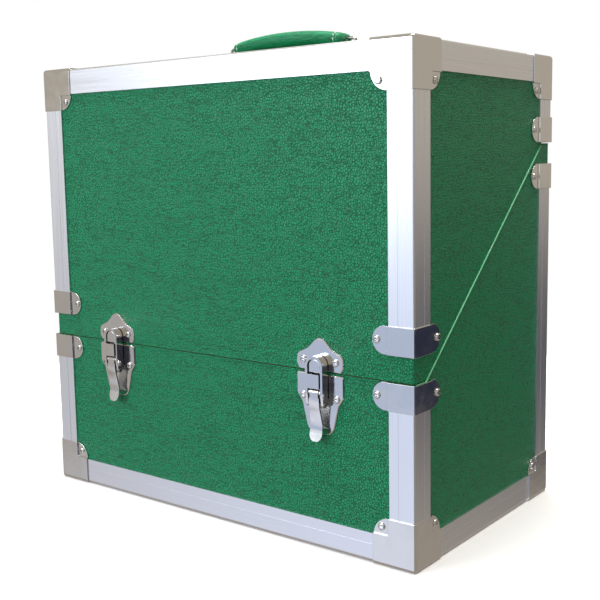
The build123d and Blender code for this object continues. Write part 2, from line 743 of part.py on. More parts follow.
full_row = 2 * TRAY_IN_X
full_deep = TRAY_DEEP - 2 * TRAY_WALL
row_front = TRAY_Y - (HALF_ROW + DIVIDER_T) / 2
row_back = TRAY_Y + (HALF_ROW + DIVIDER_T) / 2
CROSS_TOP = (-82.0, 0.0, 82.0)
CROSS_MIDDLE = (-62.0, 62.0)
CROSS_LOWER = 40.0
middle_row = CROSS_MIDDLE[1] - CROSS_MIDDLE[0] - DIVIDER_T
TRAY_STRIPS = {
    "top_tray": [(0, TRAY_Y, full_row, DIVIDER_T)]
    + [(x, y, DIVIDER_T, HALF_ROW) for x in CROSS_TOP for y in (row_front, row_back)],
    "middle_tray": [(x, TRAY_Y, DIVIDER_T, full_deep) for x in CROSS_MIDDLE]
    + [(0, TRAY_Y, middle_row, DIVIDER_T)],
    "lower_tray": [(CROSS_LOWER, TRAY_Y, DIVIDER_T, full_deep)],
}
for tray_name, tray_pin in TRAY_PINS.items():
    save(tray_shell(tray_pin), tray_name)
    save(dividers(tray_pin, TRAY_STRIPS[tray_name]), f"{tray_name}_dividers")
    save(studs(tray_pin), f"{tray_name}_studs")


# ---------------------------------------------------------------- arms
def bar(start, end, half):
    """A flat bar with round ends from start to end, in the current sketch."""
    run, rise = end[0] - start[0], end[1] - start[1]
    with Locations(((start[0] + end[0]) / 2, (start[1] + end[1]) / 2)):
        SlotCenterToCenter(hypot(run, rise), 2 * half, rotation=degrees(atan2(rise, run)))


top_pin = TRAY_PINS["top_tray"]
PAD_SCREWS = [(top_pin[0] + ARM_UP[0] * k, top_pin[1] + ARM_UP[1] * k) for k in (22.0, 36.0)]
PAD_R = 6.5

with BuildPart() as lid_arms:
    with BuildSketch(Plane.YZ.offset(LID_ARM_X)):
        bar(TRAY_PINS["lower_tray"], PAD_SCREWS[1], ARM_HALF)
        with Locations(*TRAY_PINS.values()):
            Circle(STUD_R + RUNNING, mode=Mode.SUBTRACT)
    extrude(amount=ARM_T)
    with BuildSketch(Plane.YZ.offset(LID_ARM_X)):
        bar(PAD_SCREWS[0], PAD_SCREWS[1], PAD_R)
        with Locations(*PAD_SCREWS):
            Circle(SCREW_HOLE_R, mode=Mode.SUBTRACT)
    extrude(amount=LX - LID_ARM_X)
    with BuildSketch(Plane.YZ.offset(LID_ARM_X)):
        with Locations(*PAD_SCREWS):
            Circle(SCREW_HOLE_R)
    extrude(amount=LX - LID_ARM_X, mode=Mode.SUBTRACT)
    mirror(about=Plane.YZ)
save(lid_arms, "lid_arms")

level_pins = [level_pin(pin) for pin in TRAY_PINS.values()]
with BuildPart() as level_arms:
    with BuildSketch(Plane.YZ.offset(LEVEL_ARM_X)):
        bar(level_pins[0], level_pins[-1], ARM_HALF)
        bar(LEVEL_PIVOT, level_pins[1], ARM_HALF)
        with Locations(LEVEL_PIVOT, *level_pins):
            Circle(STUD_R + RUNNING, mode=Mode.SUBTRACT)
    extrude(amount=ARM_T)
    mirror(about=Plane.YZ)
save(level_arms, "level_arms")

BRACKET_T = 1.2
BRACKET_R = 6.5
BRACKET_SCREWS = [(LEVEL_PIVOT[0], LEVEL_PIVOT[1] - drop) for drop in (15.5, 28.5)]
with BuildPart() as arm_brackets:
    with BuildSketch(Plane.YZ.offset(LX - BRACKET_T)):
        bar(LEVEL_PIVOT, BRACKET_SCREWS[1], BRACKET_R)
        with Locations(*BRACKET_SCREWS):
            Circle(SCREW_HOLE_R, mode=Mode.SUBTRACT)
    extrude(amount=BRACKET_T)
    with BuildSketch(Plane.YZ.offset(LID_ARM_X + ARM_T + 0.3)):
        with Locations(LEVEL_PIVOT):
            Circle(STUD_R)
    extrude(amount=LX - BRACKET_T - LID_ARM_X - ARM_T - 0.3)
    mirror(about=Plane.YZ)
save(arm_brackets, "arm_brackets")

# ---------------------------------------------------------------- handle
SADDLE_T = 1.2
STAPLE_IN = 2.1
STAPLE_OUT = 4.7
STAPLE_HALF = 1.3
RING_WIRE = 1.2
RING_HALF_X = 5.0
RING_TALL = 11.5
STAPLE_X = RING_X + 1.0
SADDLE_SCREW = 12.0

with BuildPart() as handle_saddles:
    with BuildSketch(Plane.XY.offset(VZ1)):
        with Locations((STAPLE_X, HANDLE_Y)):
            RectangleRounded(14, 34, 5)
    extrude(amount=SADDLE_T)
    with BuildSketch(Plane.YZ.offset(STAPLE_X - STAPLE_HALF)):
        with Locations((HANDLE_Y, HANDLE_PIVOT_Z)):
            Circle(STAPLE_OUT)
        with Locations((HANDLE_Y, AZ1 - 0.1)):
            Rectangle(2 * STAPLE_OUT, HANDLE_PIVOT_Z - AZ1 + 0.1, align=(Align.CENTER, Align.MIN))
        with Locations((HANDLE_Y, HANDLE_PIVOT_Z)):
            Circle(STAPLE_IN, mode=Mode.SUBTRACT)
        with Locations((HANDLE_Y, AZ1)):
            Rectangle(
                2 * STAPLE_IN,
                HANDLE_PIVOT_Z - AZ1,
                align=(Align.CENTER, Align.MIN),
                mode=Mode.SUBTRACT,
            )
    extrude(amount=2 * STAPLE_HALF)
    with BuildSketch(Plane.XY.offset(VZ1)):
        with Locations((STAPLE_X, HANDLE_Y - SADDLE_SCREW), (STAPLE_X, HANDLE_Y + SADDLE_SCREW)):
            Circle(SCREW_HOLE_R)
    extrude(amount=SADDLE_T, mode=Mode.SUBTRACT)
    mirror(about=Plane.YZ)
save(handle_saddles, "handle_saddles")

RING_Z = HANDLE_PIVOT_Z + RING_TALL / 2
with BuildPart() as handle_rings:
    with BuildSketch(Plane.XZ.offset(-HANDLE_Y)):
        with Locations((RING_X, RING_Z)):
            RectangleRounded(2 * (RING_HALF_X + RING_WIRE), RING_TALL + 2 * RING_WIRE, 3.8)
            RectangleRounded(
                2 * (RING_HALF_X - RING_WIRE), RING_TALL - 2 * RING_WIRE, 1.4, mode=Mode.SUBTRACT
            )
    extrude(amount=RING_WIRE, both=True)
    fillet(handle_rings.edges().filter_by(Plane.XZ), radius=RING_WIRE - 0.1)
    mirror(about=Plane.YZ)
save(handle_rings, "handle_rings")

GRIP_STATIONS = ((-1.0, 20.0, 7.5, 366.0), (-0.55, 23.5, 9.2, 369.8), (0.0, 24.0, 9.5, 371.4))
with BuildPart() as handle_grip:
    for share, wide, thick, z in GRIP_STATIONS + tuple(
        (-share, wide, thick, z) for share, wide, thick, z in reversed(GRIP_STATIONS[:-1])
    ):
        with BuildSketch(Plane.YZ.offset(share * HANDLE_HALF)):
            with Locations((HANDLE_Y, z)):
                RectangleRounded(wide, thick, thick * 0.42)
    loft()
save(handle_grip, "handle_grip")


# ---------------------------------------------------------------- screws
def make_screw(length):
    """A pan-head wood screw with a cross recess, head up, its seat at the origin."""
    with BuildPart() as screw:
        with BuildSketch():
            Circle(SCREW_HEAD_R)
        extrude(amount=SCREW_HEAD_T)
        fillet(screw.faces().sort_by(Axis.Z)[-1].edges(), radius=SCREW_HEAD_T * 0.8)
        with BuildSketch():
            Circle(SCREW_R)
        extrude(amount=-length)
        chamfer(screw.faces().sort_by(Axis.Z)[0].edges(), length=SCREW_R * 0.7)
        with BuildSketch(Plane.XY.offset(SCREW_HEAD_T)):
            Rectangle(3.0, 0.7)
            Rectangle(0.7, 3.0)
        extrude(amount=-0.8, mode=Mode.SUBTRACT)
    return screw


short_screw = make_screw(SCREW_SHORT)
long_screw = make_screw(SCREW_LONG)
TO_FRONT = (90, 0, 0)
TO_BACK = (-90, 0, 0)
TO_RIGHT = (0, 90, 0)
TO_LEFT = (0, -90, 0)
UP = (0, 0, 0)


def corner_screws(inset, z, y_side):
    """Four screws round a pair of front (-1) or back (+1) corners, at one height."""
    outward = TO_FRONT if y_side < 0 else TO_BACK
    face = [Location((s * (CX - inset), y_side * EAR_FACE, z), outward) for s in (-1, 1)]
    side = [
        Location((s * EAR_FACE_X, y_side * (CY - inset), z), TO_RIGHT if s > 0 else TO_LEFT)
        for s in (-1, 1)
    ]
    return face + side


def plate_screws(offsets, depth, rotation, centres):
    return [Location((c + x, depth, z), rotation) for c in centres for x, z in offsets]


def inner_screws(points, x):
    """Screws driven outwards from inside the case, on both sides."""
    right = [Location((x, y, z), TO_LEFT) for y, z in points]
    left = [Location((-x, y, z), TO_RIGHT) for y, z in points]
    return right + left


both_latches = (-LATCH_X, LATCH_X)
latch_offsets = [(-LATCH_SCREW[0], LATCH_SCREW[1]), LATCH_SCREW]
keeper_offsets = [(-KEEPER_SCREW[0], KEEPER_SCREW[1]), KEEPER_SCREW]
leaf_face = VY + HINGE_LEAF_T

base_places = (
    corner_screws(CAP_SCREW, CAP_SCREW, -1)
    + corner_screws(CAP_SCREW, CAP_SCREW, 1)
    + corner_screws(CLIP_SCREW, CLIP_LOW_FRONT + CLIP_R, -1)
    + corner_screws(CLIP_SCREW, CLIP_LOW_BACK + CLIP_R, 1)
    + plate_screws(latch_offsets, -AY, TO_FRONT, both_latches)
    + [Location((x, leaf_face, (LEAF_LOW + base_leaf_top) / 2), TO_BACK) for x in HINGE_SCREWS]
    + inner_screws(BRACKET_SCREWS, LX - BRACKET_T)
)
with BuildPart() as base_screws:
    with Locations(*base_places):
        add(short_screw.part)
save(base_screws, "base_screws")

cap_ears = [
    Location((sx * (CX - CAP_SCREW), sy * (CY - CAP_SCREW), HEIGHT - ANGLE_T), UP)
    for sx in (-1, 1)
    for sy in (-1, 1)
]
saddle_places = [
    Location((sx * STAPLE_X, HANDLE_Y + sy * SADDLE_SCREW, AZ1), UP) for sx in (-1, 1) for sy in (-1, 1)
]
lid_places = (
    corner_screws(CAP_SCREW, HEIGHT - CAP_SCREW, -1)
    + corner_screws(CAP_SCREW, HEIGHT - CAP_SCREW, 1)
    + corner_screws(CLIP_SCREW, CLIP_HIGH_FRONT + CLIP_R, -1)
    + corner_screws(CLIP_SCREW, CLIP_HIGH_BACK + CLIP_R, 1)
    + plate_screws(keeper_offsets, -AY, TO_FRONT, both_latches)
    + [Location((x, leaf_face, (LEAF_HIGH + lid_leaf_foot) / 2), TO_BACK) for x in HINGE_SCREWS]
    + cap_ears
    + saddle_places
)
with BuildPart() as lid_screws:
    with Locations(*lid_places):
        add(short_screw.part)
    with Locations(*inner_screws(PAD_SCREWS, LID_ARM_X)):
        add(long_screw.part)
save(lid_screws, "lid_screws")

print("hinge axis y, z:", HINGE_Y, HINGE_Z)
print("levelling pivot:", LEVEL_PIVOT)
for tray_name, tray_pin in TRAY_PINS.items():
    print(tray_name, "pin", tray_pin, "floor", tray_floor(tray_pin))
print("lever pivot:", at(*LEVER_PIVOT), "loop pivot:", at(*LOOP_PIVOT))
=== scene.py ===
"""Finishes, soft handle, sewn and pressed details, and stage for a sewing case with lifting trays."""

import math

import bmesh
import bpy
import numpy as np
from mathutils import Matrix, Vector


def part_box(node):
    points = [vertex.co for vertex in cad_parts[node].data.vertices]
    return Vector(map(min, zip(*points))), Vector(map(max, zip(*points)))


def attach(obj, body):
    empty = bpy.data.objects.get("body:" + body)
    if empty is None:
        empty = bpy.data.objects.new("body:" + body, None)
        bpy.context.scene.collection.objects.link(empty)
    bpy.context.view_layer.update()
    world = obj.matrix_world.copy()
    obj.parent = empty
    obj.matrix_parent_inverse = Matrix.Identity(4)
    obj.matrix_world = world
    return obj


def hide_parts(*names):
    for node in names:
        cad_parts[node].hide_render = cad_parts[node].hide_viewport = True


bl_info = {
    "name": "Sewing Case With Trays",
    "version": (1, 0, 0),
    "blender": (4, 5, 0),
    "location": "View3D > Sidebar > Sewing Case",
    "description": "Builds the looks of a leathercloth sewing case over its packed solid model",
    "category": "Object",
}

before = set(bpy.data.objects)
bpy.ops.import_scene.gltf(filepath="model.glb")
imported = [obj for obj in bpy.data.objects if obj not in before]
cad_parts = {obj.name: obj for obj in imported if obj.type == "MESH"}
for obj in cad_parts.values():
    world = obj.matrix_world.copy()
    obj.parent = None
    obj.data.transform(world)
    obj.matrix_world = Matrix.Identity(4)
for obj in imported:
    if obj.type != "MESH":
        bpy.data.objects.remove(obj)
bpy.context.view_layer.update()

MM = 0.001

# The case's plan, in millimetres, taken from the packed solids.
COVER_LOW, COVER_HIGH = (np.array(corner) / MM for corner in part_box("base_cover"))
LID_COVER_LOW = np.array(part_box("lid_cover")[0]) / MM
GRIP_LOW, GRIP_HIGH = (np.array(corner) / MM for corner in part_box("handle_grip"))
SEAM_GAP = 0.3  # each half of the covering stays this far from the parting line
SEAM_FRONT = LID_COVER_LOW[2] - SEAM_GAP
SEAM_BACK = COVER_HIGH[2] + SEAM_GAP
SLOPE_FRONT_Y, SLOPE_BACK_Y = -87.5, 87.6  # where the parting line starts and stops rising
COVER_CORNER_R = 1.6  # the covering's upright corners
LIP_PROUD = 0.25  # how far a turned edge stands out from the covering
PIPING_OUT = 0.2  # from the covering's side to the middle of the piping
PIPING_TALL = 1.3  # height of the piping over its width
PIPING_FRONT_Y, PIPING_BACK_Y = COVER_LOW[1] + 1.5, COVER_HIGH[1] - 14
PIPING_END = 0.03  # share of its half length over which an end closes


# ------------------------------------------------------------------ colour and node helpers
def linear(hex_colour):
    """An sRGB hex colour as linear red, green, blue and alpha 1."""
    srgb = np.array([int(hex_colour[i : i + 2], 16) for i in (1, 3, 5)]) / 255
    rgb = np.where(srgb <= 0.04045, srgb / 12.92, ((srgb + 0.055) / 1.055) ** 2.4)
    return (*rgb.tolist(), 1.0)


def add_node(tree, kind, values=None, links=None, **settings):
    """Add a node with its settings, its input values and the sockets that feed its inputs."""
    made = tree.nodes.new(kind)
    for name, setting in settings.items():
        setattr(made, name, setting)
    for name, value in (values or {}).items():
        made.inputs[name].default_value = value
    for name, source in (links or {}).items():
        tree.links.new(source, made.inputs[name])
    return made


def new_material(name):
    """An empty node material with its Principled shader joined to the output."""
    material = bpy.data.materials.new(name)
    material.use_nodes = True
    tree = material.node_tree
    tree.nodes.clear()
    shader = add_node(tree, "ShaderNodeBsdfPrincipled")
    output = add_node(tree, "ShaderNodeOutputMaterial")
    tree.links.new(shader.outputs["BSDF"], output.inputs["Surface"])
    return material, tree, shader


def object_coordinates(tree, per_metre):
    """Object coordinates multiplied by a scale per metre along each axis."""
    coordinates = add_node(tree, "ShaderNodeTexCoord")
    mapping = add_node(
        tree,
        "ShaderNodeMapping",
        values={"Scale": per_metre},
        links={"Vector": coordinates.outputs["Object"]},
    )
    return mapping.outputs["Vector"]


MIX_A, MIX_B, MIX_RESULT = 6, 7, 2  # a Mix node's colour sockets, by position


def blend(tree, share, low, high):
    """A colour mix; each end is either a colour or the socket of another mix."""
    made = add_node(tree, "ShaderNodeMix", data_type="RGBA", links={"Factor": share})
    for socket, colour in ((MIX_A, low), (MIX_B, high)):
        if isinstance(colour, tuple):
            made.inputs[socket].default_value = (*colour[:3], 1.0)
        else:
            tree.links.new(colour, made.inputs[socket])
    return made.outputs[MIX_RESULT]


# ------------------------------------------------------------------ materials
def crease_lines(tree, per_metre, width):
    """Thin wavy lines, 0 on a line and 1 away from it: where a stretched noise crosses one half.

    The value is smoothstep(|noise - 0.5| / width), so width sets how broad a line is.
    """
    noise = add_node(
        tree,
        "ShaderNodeTexNoise",
        values={"Scale": 1.0, "Detail": 3.0, "Roughness": 0.6},
        links={"Vector": object_coordinates(tree, per_metre)},
    )
    level = add_node(
        tree, "ShaderNodeMath", operation="SUBTRACT", values={1: 0.5}, links={0: noise.outputs["Fac"]}
    )
    distance = add_node(tree, "ShaderNodeMath", operation="ABSOLUTE", links={0: level.outputs[0]})
    line = add_node(
        tree,
        "ShaderNodeMapRange",
        interpolation_type="SMOOTHSTEP",
        values={"From Min": 0.0, "From Max": width},
        links={"Value": distance.outputs[0]},
    )
    return line.outputs["Result"]


def leathercloth(settings):
    """PVC leathercloth, calendered with a pebble grain and fine running creases."""
    # Round pebbles, 1.9 mm across unless set otherwise, with painted shade in the valleys between them;
    # fine creases
    #  run mostly level, about 8 mm apart and 40 mm long, as a press roll leaves them, and carry the same
    #  painted shade.
    material, tree, shader = new_material("pvc leathercloth, pebble grain")
    cell = settings.grain_mm * MM
    here = object_coordinates(tree, (1.0, 1.0, 1.0))
    pebbles = add_node(
        tree,
        "ShaderNodeTexVoronoi",
        feature="DISTANCE_TO_EDGE",
        values={"Scale": 1 / cell, "Randomness": 0.9},
        links={"Vector": here},
    )
    dome = add_node(
        tree,
        "ShaderNodeMapRange",
        interpolation_type="SMOOTHSTEP",
        values={"From Min": 0.0, "From Max": 0.15, "To Min": 0.0, "To Max": 1.0},
        links={"Value": pebbles.outputs["Distance"]},
    )
    crease_long, crease_apart = 40 * MM, 8 * MM
    creases = crease_lines(tree, (1 / crease_long, 1 / crease_long, 1 / crease_apart), width=0.009)
    height = add_node(
        tree,
        "ShaderNodeMath",
        operation="MULTIPLY",
        links={0: creases, 1: dome.outputs["Result"]},
    )
    tone = add_node(
        tree,
        "ShaderNodeTexNoise",
        values={"Scale": 1 / (3.2 * cell), "Detail": 3.0},
        links={"Vector": here},
    )
    patchiness = add_node(
        tree,
        "ShaderNodeMapRange",
        values={"From Min": 0.3, "From Max": 0.7, "To Min": 0.0, "To Max": 0.1},
        links={"Value": tone.outputs["Fac"]},
    )
    valley_shade_and_tone = add_node(
        tree,
        "ShaderNodeMath",
        operation="MULTIPLY_ADD",
        values={1: 0.9},
        links={0: height.outputs[0], 2: patchiness.outputs["Result"]},
    )
    # Painted shade: the colour falls to dark #0c5a39 in the pebble valleys and along the creases; the
    # patchiness added to it is the covering's own random tone.
    colour = blend(tree, valley_shade_and_tone.outputs[0], linear("#0c5a39"), tuple(settings.leathercloth_colour))
    bump = add_node(
        tree,
        "ShaderNodeBump",
        values={"Strength": 1.0, "Distance": cell * 0.18},
        links={"Height": height.outputs[0]},
    )
    shader.inputs["Roughness"].default_value = 0.36
    shader.inputs["Specular IOR Level"].default_value = 0.3
    tree.links.new(colour, shader.inputs["Base Color"])
    tree.links.new(bump.outputs["Normal"], shader.inputs["Normal"])
    return material


def drawn_aluminium(axis):
    """Mill-finish extruded aluminium angle; the die leaves fine lines along one axis."""
    # A satin grey metal that mirrors broadly, with streaks 0.5 mm wide and 90 mm long.
    material, tree, shader = new_material("extruded aluminium, drawn along " + "xyz"[axis])
    per_metre = [1 / (0.5 * MM)] * 3
    per_metre[axis] = 1 / (90 * MM)
    streaks = add_node(
        tree,
        "ShaderNodeTexNoise",
        values={"Scale": 1.0, "Detail": 2.0},
        links={"Vector": object_coordinates(tree, per_metre)},
    )
    roughness = add_node(
        tree,
        "ShaderNodeMapRange",
        values={"From Min": 0.3, "From Max": 0.7, "To Min": 0.26, "To Max": 0.4},
        links={"Value": streaks.outputs["Fac"]},
    )
    bump = add_node(
        tree,
        "ShaderNodeBump",
        values={"Strength": 0.12, "Distance": 0.02 * MM},
        links={"Height": streaks.outputs["Fac"]},
    )
    shader.inputs["Base Color"].default_value = linear("#e6e7ea")
    shader.inputs["Metallic"].default_value = 1.0
    tree.links.new(roughness.outputs["Result"], shader.inputs["Roughness"])
    tree.links.new(bump.outputs["Normal"], shader.inputs["Normal"])
    return material


def plated_metal(name, colour, low_gloss, high_gloss, ripple_mm):
    """Plated pressed steel; the sheet keeps a slight ripple under the plating."""
    # Mirrors with soft waves about 9 mm long, and light handling haze in the gloss.
    material, tree, shader = new_material(name)
    ripple = add_node(
        tree,
        "ShaderNodeTexNoise",
        values={"Scale": 1 / (9 * MM), "Detail": 2.0},
        links={"Vector": object_coordinates(tree, (1.0, 1.0, 1.0))},
    )
    haze = add_node(
        tree,
        "ShaderNodeMapRange",
        values={"From Min": 0.3, "From Max": 0.7, "To Min": low_gloss, "To Max": high_gloss},
        links={"Value": ripple.outputs["Fac"]},
    )
    bump = add_node(
        tree,
        "ShaderNodeBump",
        values={"Strength": 0.5, "Distance": ripple_mm * MM},
        links={"Height": ripple.outputs["Fac"]},
    )
    shader.inputs["Base Color"].default_value = linear(colour)
    shader.inputs["Metallic"].default_value = 1.0
    tree.links.new(haze.outputs["Result"], shader.inputs["Roughness"])
    tree.links.new(bump.outputs["Normal"], shader.inputs["Normal"])
    return material


def woven_cloth(name, colour, shade):
    """Plain-weave cotton glued to board."""
    # Matt, with threads drawn 0.9 mm apart, coarser than real ones so that they show.
    material, tree, shader = new_material(name)
    thread = 2 * math.pi / (0.9 * MM)
    here = add_node(
        tree, "ShaderNodeSeparateXYZ", links={"Vector": object_coordinates(tree, (thread, thread, thread))}
    )
    waves = [
        add_node(tree, "ShaderNodeMath", operation="SINE", links={0: here.outputs[axis]}).outputs[0]
        for axis in ("X", "Y", "Z")
    ]
    pair = add_node(tree, "ShaderNodeMath", operation="ADD", links={0: waves[0], 1: waves[1]})
    weave = add_node(tree, "ShaderNodeMath", operation="ADD", links={0: pair.outputs[0], 1: waves[2]})
    blotch = add_node(
        tree,
        "ShaderNodeTexNoise",
        values={"Scale": 1 / (40 * MM), "Detail": 3.0},
        links={"Vector": object_coordinates(tree, (1.0, 1.0, 1.0))},
    )
    tone = add_node(
        tree,
        "ShaderNodeMapRange",
        values={"From Min": 0.3, "From Max": 0.7},
        links={"Value": blotch.outputs["Fac"]},
    )
    mixed = blend(tree, tone.outputs["Result"], linear(shade), linear(colour))
    bump = add_node(
        tree,
        "ShaderNodeBump",
        values={"Strength": 0.25, "Distance": 0.08 * MM},
        links={"Height": weave.outputs[0]},
    )
    shader.inputs["Roughness"].default_value = 0.9
    tree.links.new(mixed, shader.inputs["Base Color"])
    tree.links.new(bump.outputs["Normal"], shader.inputs["Normal"])
    return material


def poplar_plywood():
    """Sanded poplar plywood: pale, with a long faint grain."""
    material, tree, shader = new_material("sanded poplar plywood")
    grain = add_node(
        tree,
        "ShaderNodeTexNoise",
        values={"Scale": 1.0, "Detail": 5.0},
        links={"Vector": object_coordinates(tree, (1 / (60 * MM), 1 / (3 * MM), 1 / (3 * MM)))},
    )
    mixed = blend(tree, grain.outputs["Fac"], linear("#a88458"), linear("#d8b98a"))
    shader.inputs["Roughness"].default_value = 0.6
    tree.links.new(mixed, shader.inputs["Base Color"])
    return material


def plain(name, colour, roughness, metallic=0.0):
    """A finish that is the same all over."""
    material, _, shader = new_material(name)
    shader.inputs["Base Color"].default_value = linear(colour)
    shader.inputs["Roughness"].default_value = roughness
    shader.inputs["Metallic"].default_value = metallic
    return material


FINISHES = {}


def make_finishes(settings):
    """Every finish of the case, by the name the pieces ask for."""
    FINISHES.update(
        {
            "leathercloth": leathercloth(settings),
            "angle x": drawn_aluminium(0),
            "angle y": drawn_aluminium(1),
            "angle z": drawn_aluminium(2),
            # Bright nickel is a neutral mirror; the thin pressings are a little wavy.
            "nickel": plated_metal("bright nickel plated pressing", "#d6d5d2", 0.09, 0.18, 0.2),
            # Vinyl piping is smooth and glossy; its green is painted lighter than the covering, a painted
            # highlight for the light its upper edge catches.
            "piping": plain("extruded vinyl piping, painted highlight", "#6fcf98", 0.3),
            # Zinc plate is duller and bluer.
            "zinc": plated_metal("zinc plated steel strip", "#b9bcc0", 0.25, 0.38, 0.05),
            # The wire of the handle rings is darker, from handling.
            "ring steel": plated_metal("tarnished nickel wire", "#8d8880", 0.18, 0.3, 0.05),
            "lining": woven_cloth("cotton lining, glued", "#cdb98f", "#bda77c"),
            "tray cloth": woven_cloth("cotton tray covering, glued", "#d8c8a4", "#c9b78f"),
            "plywood": poplar_plywood(),
            # Waxed linen thread is off-white and dull.
            "thread": plain("waxed linen thread", "#e9ece2", 0.7),
        }
    )


def finish_of(node):
    """The finish a solid gets, from what its name says it is."""
    if node.endswith("_cover") or node == "handle_grip":
        return "leathercloth"
    if "_edge_front" in node or "_edge_back" in node:
        return "angle x"
    if "_edge_left" in node or "_edge_right" in node:
        return "angle y"
    if node.endswith("_posts"):
        return "angle z"
    if node.endswith("_lining"):
        return "lining"
    if node.endswith("_tray") or node.endswith("_dividers"):
        return "tray cloth"
    if node.endswith("_panel") or node == "base_floor":
        return "plywood"
    if node == "handle_rings":
        return "ring steel"
    if node.endswith(("_arms", "_brackets", "_pins", "_studs", "_leaves")):
        return "zinc"
    return "nickel"


# ------------------------------------------------------------------ mesh helpers
def grid_faces(rows, columns, wrap_rows, wrap_columns, start=0):
    """Corner numbers of the quads of a grid of points, wrapped round where it closes."""
    r = np.arange(rows if wrap_rows else rows - 1)[:, None]
    c = np.arange(columns if wrap_columns else columns - 1)[None, :]
    r1, c1 = (r + 1) % rows, (c + 1) % columns
    quads = np.stack(
        [r * columns + c, r * columns + c1, r1 * columns + c1, r1 * columns + c], axis=-1
    )
    return quads.reshape(-1, 4) + start


def outward(points, quads):
    """Turns every quad over if the closed mesh they make is inside out."""
    a, b, c, d = (points[quads[:, i]] for i in range(4))
    volume = np.einsum("ij,ij->i", a, np.cross(b, c)) + np.einsum("ij,ij->i", a, np.cross(c, d))
    return quads if volume.sum() > 0 else quads[:, ::-1]


def make_piece(name, points_mm, quads, caps, finish, body):
    """A smooth mesh piece from points in millimetres, quads and end caps, riding on a body."""
    quads = outward(points_mm, quads)
    mesh = bpy.data.meshes.new(name)
    mesh.from_pydata((points_mm * MM).tolist(), [], quads.tolist() + [list(cap) for cap in caps])
    mesh.update()
    mesh.shade_smooth()
    mesh.materials.append(FINISHES[finish])
    piece = bpy.data.objects.new(name, mesh)
    bpy.context.scene.collection.objects.link(piece)
    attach(piece, body)
    return piece


def end_taper(share, length, stop):
    """1 along a piece and a quarter ellipse over its last length; share runs from -1 to 1.

    It is sqrt(1 - t squared), t going from 0 to 1 over that length, 1 - t squared kept over stop.
    """
    t = np.clip((np.abs(share) - 1 + length) / length, 0, 1)
    return np.sqrt(np.clip(1 - t**2, stop, 1))


def tube_along(path, side, radius):
    """A closed tube: at each path point a circle, side * cos + (tangent x side) * sin."""
    tangent = np.roll(path, -1, axis=0) - np.roll(path, 1, axis=0)
    up = np.cross(tangent, side)
    up /= np.linalg.norm(up, axis=1, keepdims=True)
    angle = np.linspace(0, 2 * np.pi, 10, endpoint=False)
    ring = (
        path[:, None, :]
        + radius * np.cos(angle)[None, :, None] * side[:, None, :]
        + radius * np.sin(angle)[None, :, None] * up[:, None, :]
    )
    return ring.reshape(-1, 3), grid_faces(len(path), len(angle), True, True)


# ------------------------------------------------------------------ properties
class CaseFinishSettings(bpy.types.PropertyGroup):
    """Colours and grain of the case."""

    leathercloth_colour: bpy.props.FloatVectorProperty(
        name="Leathercloth",
        description="Colour of the raised grain of the covering",
        subtype="COLOR",
        size=3,
        min=0,
        max=1,
        default=linear("#1a9563")[:3],
    )
    grain_mm: bpy.props.FloatProperty(
        name="Grain",
        description="Mean width of one pebble of the covering's grain, in millimetres",
        default=1.9,
        min=0.5,
        max=5.0,
    )


class CaseHandleSettings(bpy.types.PropertyGroup):
    """Shape of the padded handle."""

    end_width_mm: bpy.props.FloatProperty(
        name="End width",
        description="Width of the handle at its ends, in millimetres",
        default=18.5,
        min=5,
    )
    middle_width_mm: bpy.props.FloatProperty(
        name="Middle width",
        description="Width of the handle in the middle, in millimetres",
        default=23.6,
        min=5,
    )
    end_thick_mm: bpy.props.FloatProperty(
        name="End thickness", description="Thickness at the ends, in millimetres", default=8.0, min=1
    )
    middle_thick_mm: bpy.props.FloatProperty(
        name="Middle thickness", description="Thickness in the middle, in millimetres", default=12.8, min=1
    )
    stitches: bpy.props.IntProperty(
        name="Stitches", description="Stitches round each end of the handle", default=12, min=3
    )


class CaseMetalSettings(bpy.types.PropertyGroup):
    """Edges of the pressed metal parts."""

    edge_mm: bpy.props.FloatProperty(
        name="Rolled edge",
        description="Width of the rounding on stamped edges, in millimetres",
        default=0.28,
        min=0.01,
    )


class CaseSeamSettings(bpy.types.PropertyGroup):
    """Turned edges of the covering along the parting line."""

    piping_mm: bpy.props.FloatProperty(
        name="Piping", description="Radius of the piping on the sides, in millimetres", default=0.7, min=0.1
    )

    lip_mm: bpy.props.FloatProperty(
        name="Turned edge",
        description="Radius of the turned edge of the covering, in millimetres",
        default=0.55,
        min=0.1,
    )


# ------------------------------------------------------------------ seam
def plan_outline(low, high, radius, per_side, per_corner):
    """Points round a rounded rectangle, with outward directions, counter-clockwise from above.

    Each corner is an arc: its centre plus radius times (cos a, sin a), a over a quarter turn.
    """
    centres = np.array(
        [
            (high[0] - radius, high[1] - radius),
            (low[0] + radius, high[1] - radius),
            (low[0] + radius, low[1] + radius),
            (high[0] - radius, low[1] + radius),
        ]
    )
    quarter = np.linspace(0, np.pi / 2, per_corner)
    angles = quarter[None, :] + np.arange(4)[:, None] * np.pi / 2
    normals = np.stack([np.cos(angles), np.sin(angles)], axis=-1)
    arcs = centres[:, None, :] + radius * normals
    share = np.linspace(0, 1, per_side)[None, 1:-1, None]
    starts, ends = arcs[:, -1:, :], np.roll(arcs, -1, axis=0)[:, :1, :]
    sides = starts + share * (ends - starts)
    side_normals = np.repeat(normals[:, -1:, :], per_side - 2, axis=1)
    points = np.concatenate([arcs, sides], axis=1).reshape(-1, 2)
    return points, np.concatenate([normals, side_normals], axis=1).reshape(-1, 2)


def seam_height(y):
    """Height of the parting line: level in front and behind, a straight slope between."""
    share = np.clip((y - SLOPE_FRONT_Y) / (SLOPE_BACK_Y - SLOPE_FRONT_Y), 0, 1)
    return SEAM_FRONT + share * (SEAM_BACK - SEAM_FRONT)


